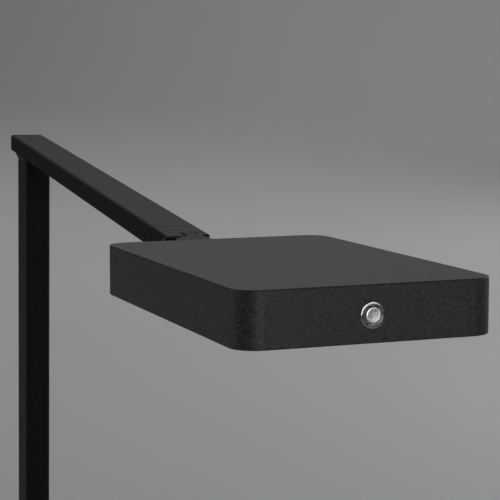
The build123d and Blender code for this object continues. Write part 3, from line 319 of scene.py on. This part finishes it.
def softened_normal(tree, radius, samples):
    """The surface's normal, rounded off near sharp edges."""
    bevel = tree.nodes.new("ShaderNodeBevel")
    bevel.samples = samples
    bevel.inputs["Radius"].default_value = radius
    return bevel.outputs["Normal"]


def bump(tree, shader, layers, edge):
    """Softens the edges, then stacks bumps: each layer is a pattern, its strength and its depth."""
    normal = softened_normal(tree, edge, EDGE_SAMPLES)
    for height, strength, depth in layers:
        node = tree.nodes.new("ShaderNodeBump")
        node.inputs["Strength"].default_value = strength
        node.inputs["Distance"].default_value = depth
        tree.links.new(height, node.inputs["Height"])
        tree.links.new(normal, node.inputs["Normal"])
        normal = node.outputs["Normal"]
    tree.links.new(normal, shader.inputs["Normal"])


def edge_nearness(tree, radius):
    """How near a point is to a sharp edge: 0 on a flat face, 1 at the edge."""
    softened = softened_normal(tree, radius, NEARNESS_SAMPLES)
    surface = tree.nodes.new("ShaderNodeNewGeometry")
    turned = tree.nodes.new("ShaderNodeVectorMath")
    turned.operation = "DOT_PRODUCT"
    tree.links.new(softened, turned.inputs[0])
    tree.links.new(surface.outputs["Normal"], turned.inputs[1])
    return spread(tree, turned.outputs["Value"], 1.0, 0.0, *EDGE_TURN)


def side_dryness(tree, amount):
    """Extra roughness on upright faces, which hands and cloths polish less than level ones."""
    parts = tree.nodes.new("ShaderNodeSeparateXYZ")
    normal = tree.nodes.new("ShaderNodeTexCoord").outputs["Normal"]
    tree.links.new(normal, parts.inputs["Vector"])
    return spread(tree, parts.outputs["Z"], amount, 0.0, 0.0, LEVEL_FACE)


def color_of(color, share):
    return [share * channel for channel in color]


def set_surface(tree, shader, color, rough):
    tree.links.new(color, shader.inputs["Base Color"])
    tree.links.new(rough, shader.inputs["Roughness"])


# Finishes

def powder_coat(name, tone, gloss, edge, dry_sides):
    """Powder coat: fine specks, uneven patches, an orange-peel skin and a paler, painted highlight along its
    edges.
    """
    material, tree, shader = new_material(name)
    dark = [DARK_SHARE * tone] * 3
    light = [LIGHT_SHARE * tone] * 3
    highlight_tone = [HIGHLIGHT_SHARE * tone + HIGHLIGHT_LIFT] * 3
    specks = noise(tree, *SPECKS)
    patches = noise(tree, *PATCHES)
    clouds = noise(tree, *CLOUDS)
    speck_color = ramp(tree, specks, *SPECK_RANGE, dark, light)
    patch_color = ramp(tree, patches, *PATCH_RANGE, dark, light)
    patchy = spread(tree, clouds, *PATCH_BLEND)
    color = blend_colors(tree, patchy, speck_color, patch_color)
    # Painted edge highlight: a paler tone laid along every sharp edge of the coat, speckled like it.
    highlight_mask = spread(tree, edge_nearness(tree, HIGHLIGHT_WIDTH), 0.0, HIGHLIGHT_MOST, *HIGHLIGHT_RANGE)
    highlight_color = ramp(tree, specks, *SPECK_RANGE, color_of(highlight_tone, HIGHLIGHT_SPECK_SHADE), highlight_tone)
    color = blend_colors(tree, highlight_mask, color, highlight_color)
    rough = stray(tree, patches, COAT_ROUGH, *COAT_STRAY)
    if dry_sides:
        rough = sum_of(tree, rough, side_dryness(tree, dry_sides))
    set_surface(tree, shader, color, rough)
    shader.inputs["Specular IOR Level"].default_value = gloss
    peel = noise(tree, *PEEL)
    bump(tree, shader, [(peel, *PEEL_RELIEF), (specks, *SPECK_RELIEF)], edge)
    return material


def machined_steel(name, color, rough, stretch, metallic=1.0):
    """Drawn or turned metal with fine lines across one axis, and faint stains."""
    material, tree, shader = new_material(name)
    lines = noise(tree, *METAL_LINES, stretch)
    stains = noise(tree, *METAL_STAINS)
    tone = ramp(tree, stains, *STAIN_RANGE, color_of(color, METAL_SHADE), color)
    set_surface(tree, shader, tone, stray(tree, lines, rough, *METAL_STRAY))
    shader.inputs["Metallic"].default_value = metallic
    bump(tree, shader, [(lines, *LINE_RELIEF)], METAL_EDGE)
    return material


def polished_ring(name, color):
    """Dark bright-plated metal, a little uneven."""
    material, tree, shader = new_material(name)
    ripples = noise(tree, *RING_RIPPLES)
    tone = ramp(tree, ripples, *RIPPLE_RANGE, color_of(color, RING_SHADE), color)
    set_surface(tree, shader, tone, spread(tree, ripples, *RING_ROUGH))
    shader.inputs["Metallic"].default_value = 1.0
    bump(tree, shader, [(ripples, *RIPPLE_RELIEF)], SWITCH_EDGE)
    return material


def satin_button(name, color):
    """Blasted and brushed bright metal: a mottled satin face."""
    material, tree, shader = new_material(name)
    mottle = noise(tree, *BUTTON_MOTTLE)
    tone = ramp(tree, mottle, *MOTTLE_RANGE, color_of(color, BUTTON_SHADE), color)
    set_surface(tree, shader, tone, spread(tree, mottle, *BUTTON_ROUGH))
    shader.inputs["Metallic"].default_value = 1.0
    bump(tree, shader, [(mottle, *MOTTLE_RELIEF)], SWITCH_EDGE)
    return material


def moulded_plastic(name, color, rough, sheen=0.0, shade=PLASTIC_SHADE):
    """Moulded plastic or rubber: an even skin with a fine spark texture."""
    material, tree, shader = new_material(name)
    skin = noise(tree, *PLASTIC_SKIN)
    clouds = noise(tree, *PLASTIC_CLOUDS)
    tone = ramp(tree, clouds, *PLASTIC_RANGE, color_of(color, shade), color)
    set_surface(tree, shader, tone, stray(tree, skin, rough, *PLASTIC_STRAY))
    shader.inputs["Sheen Weight"].default_value = sheen
    bump(tree, shader, [(skin, *SKIN_RELIEF)], PLASTIC_EDGE)
    return material


finishes = {
    "chrome_ring": polished_ring("chrome_ring", RING_COLOR),
    "button_steel": satin_button("button_steel", BUTTON_COLOR),
}
for make, table in ((powder_coat, COATS), (moulded_plastic, PLASTICS), (machined_steel, METALS)):
    for name, values in table.items():
        finishes[name] = make(name, *values)

for name, node in nodes.items():
    node.data.materials.clear()
    node.data.materials.append(finishes[slot_of[name]])

# The arm's tube and its end cap have softer edges than the cast pieces.
for name in ("arm_tube", "arm_end_cap"):
    nodes[name].data.materials[0] = finishes["tube_coat"]


# The push switch's ring and button

def switch_place(node):
    """The front end of a turned piece of the switch, with Z out of the head, and its length."""
    out = -Vector(joints["button_press"]["axis"]).normalized()
    side = Vector((0, 0, 1)).cross(out).normalized()
    turn = Matrix((side, out.cross(side), out)).transposed()
    points = [turn.transposed() @ vertex.co for vertex in nodes[node].data.vertices]
    low = [min(point[axis] for point in points) for axis in range(3)]
    high = [max(point[axis] for point in points) for axis in range(3)]
    front = Vector(((low[0] + high[0]) / 2, (low[1] + high[1]) / 2, high[2]))
    return Matrix.Translation(turn @ front) @ turn.to_4x4(), high[2] - low[2]


def round_over(r, z, wide, deep, start, end, steps=EDGE_STEPS):
    """Points of an elliptical rounding about (r, z), from one angle to the other in degrees."""
    angles = [math.radians(start + (end - start) * step / steps) for step in range(steps + 1)]
    return [(r + wide * math.cos(angle), z + deep * math.sin(angle)) for angle in angles]


def smooth_piece(name, mesh):
    """An object of the finished mesh, shaded smooth."""
    data = bpy.data.meshes.new(name)
    mesh.to_mesh(data)
    mesh.free()
    data.shade_smooth()
    piece = bpy.data.objects.new(name, data)
    bpy.context.scene.collection.objects.link(piece)
    return piece


def turned_piece(name, profile, place, body, node):
    """A closed profile of radii and heights, turned about its Z axis."""
    mesh = bmesh.new()
    rings = []
    for step in range(SWITCH_STEPS):
        angle = math.tau * step / SWITCH_STEPS
        rings.append([mesh.verts.new((r * math.cos(angle), r * math.sin(angle), z))
                      for r, z in profile])
    for ring, following in zip(rings, rings[1:] + rings[:1]):
        for first in range(len(profile)):
            second = (first + 1) % len(profile)
            mesh.faces.new((ring[first], following[first], following[second], ring[second]))
    bmesh.ops.remove_doubles(mesh, verts=mesh.verts, dist=SWITCH_MERGE)
    bmesh.ops.recalc_face_normals(mesh, faces=mesh.faces)
    bmesh.ops.transform(mesh, matrix=place, verts=mesh.verts)
    piece = smooth_piece(name, mesh)
    piece.data.set_sharp_from_angle(angle=math.radians(SWITCH_SHARP))
    piece.data.materials.append(finishes[slot_of[node]])
    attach(piece, body)
    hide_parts(node)


def switch_ring():
    """The switch's flanged barrel: a polished, crowned ring with a shadow gap round the button."""
    place, length = switch_place("button_bezel")
    rim_r = BEZEL_R - BEZEL_EDGE_WIDE
    rim_z = -BEZEL_CROWN - BEZEL_EDGE_DEEP
    inner_r = BEZEL_MOUTH_R + BEZEL_INNER_EDGE
    lip_z = -BEZEL_FLANGE - BEZEL_LIP
    profile = [(BARREL_BORE_R, -length), (BARREL_R, -length), (BARREL_R, -BEZEL_FLANGE),
               (BEZEL_R, -BEZEL_FLANGE)]
    profile += round_over(rim_r, rim_z, BEZEL_EDGE_WIDE, BEZEL_EDGE_DEEP, 0, BEZEL_EDGE_END)
    profile += round_over(inner_r, -BEZEL_INNER_EDGE, BEZEL_INNER_EDGE, BEZEL_INNER_EDGE,
                          90, 180, INNER_EDGE_STEPS)
    profile += [(BEZEL_MOUTH_R, -BEZEL_FLANGE), (BEZEL_LIP_R, -BEZEL_FLANGE),
                (BEZEL_LIP_R, lip_z), (BARREL_BORE_R, lip_z)]
    turned_piece("switch_ring", profile, place, "head", "button_bezel")


def switch_button():
    """The button: a satin, slightly dished face with a rounded rim, on its retainer and stem."""
    place, length = switch_place("button_cap")
    face_r = CAP_R - CAP_EDGE_WIDE
    rim_z = -CAP_LENGTH - CAP_RIM
    shares = [step / DISH_STEPS for step in range(DISH_STEPS)]
    dish = [(face_r * share, -CAP_DISH * (1 - share ** 2)) for share in shares]
    profile = [(0.0, -length)] + dish
    profile += round_over(face_r, -CAP_EDGE_DEEP, CAP_EDGE_WIDE, CAP_EDGE_DEEP, CAP_EDGE_START, 0)
    profile += [(CAP_R, -CAP_LENGTH), (CAP_RIM_R, -CAP_LENGTH), (CAP_RIM_R, rim_z),
                (CAP_STEM_R, rim_z), (CAP_STEM_R, -length)]
    turned_piece("switch_button", profile, place, "button", "button_cap")


# Stage, lights and camera

def studio_paper():
    """Even pale paper with a faint, broad grain."""
    material, tree, shader = new_material("studio_paper")
    grain = noise(tree, *PAPER_GRAIN)
    shade = color_of(STUDIO_TONE, STUDIO_SHADE)
    tone = ramp(tree, grain, *GRAIN_RANGE, shade, STUDIO_TONE)
    tree.links.new(tone, shader.inputs["Base Color"])
    shader.inputs["Roughness"].default_value = STUDIO_ROUGH
    return material


def studio_sweep():
    """The pale floor, which curves up into a wall all the way round."""
    profile = [(0.0, 0.0), (FLOOR_RADIUS, 0.0)]
    for step in range(1, SWEEP_STEPS + 1):
        angle = math.radians(90 * step / SWEEP_STEPS)
        profile.append((FLOOR_RADIUS + SWEEP_RADIUS * math.sin(angle),
                        SWEEP_RADIUS * (1 - math.cos(angle))))
    profile.append((FLOOR_RADIUS + SWEEP_RADIUS, WALL_HEIGHT))
    mesh = bmesh.new()
    points = [mesh.verts.new((r, 0, z)) for r, z in profile]
    edges = [mesh.edges.new(pair) for pair in zip(points, points[1:])]
    bmesh.ops.spin(mesh, geom=points + edges, cent=(0, 0, 0), axis=(0, 0, 1),
                   angle=math.radians(360), steps=SWEEP_SIDES)
    bmesh.ops.remove_doubles(mesh, verts=mesh.verts, dist=SWEEP_MERGE)
    bmesh.ops.recalc_face_normals(mesh, faces=mesh.faces)
    sweep = smooth_piece("studio_sweep", mesh)
    sweep.data.materials.append(studio_paper())


def area_light(name, place, target, width, height, power):
    light = bpy.data.lights.new(name, "AREA")
    light.shape = "RECTANGLE"
    light.size = width
    light.size_y = height
    light.energy = power
    holder = bpy.data.objects.new(name, light)
    holder.location = place
    aim = Vector(target) - Vector(place)
    holder.rotation_mode = "QUATERNION"
    holder.rotation_quaternion = aim.to_track_quat("-Z", "Y")
    holder.visible_camera = False
    bpy.context.scene.collection.objects.link(holder)


def world_light(strength):
    world = bpy.data.worlds.new("studio")
    world.use_nodes = True
    background = world.node_tree.nodes["Background"]
    background.inputs["Color"].default_value = (1, 1, 1, 1)
    background.inputs["Strength"].default_value = strength
    bpy.context.scene.world = world


def camera():
    data = bpy.data.cameras.new("camera")
    data.lens = CAMERA_LENS
    data.sensor_width = CAMERA_SENSOR
    data.clip_start = CAMERA_NEAR
    data.clip_end = CAMERA_FAR
    holder = bpy.data.objects.new("camera", data)
    turn = (Matrix.Rotation(math.radians(-CAMERA_HEADING), 4, "Z")
            @ Matrix.Rotation(math.radians(90 + CAMERA_PITCH), 4, "X")
            @ Matrix.Rotation(math.radians(CAMERA_ROLL), 4, "Z"))
    holder.matrix_world = Matrix.Translation(CAMERA_PLACE) @ turn
    bpy.context.scene.collection.objects.link(holder)
    bpy.context.scene.camera = holder


switch_ring()
switch_button()
studio_sweep()
world_light(WORLD_STRENGTH)
for name, values in LIGHTS.items():
    area_light(name, *values)
camera()
bpy.context.scene.view_settings.view_transform = "Standard"
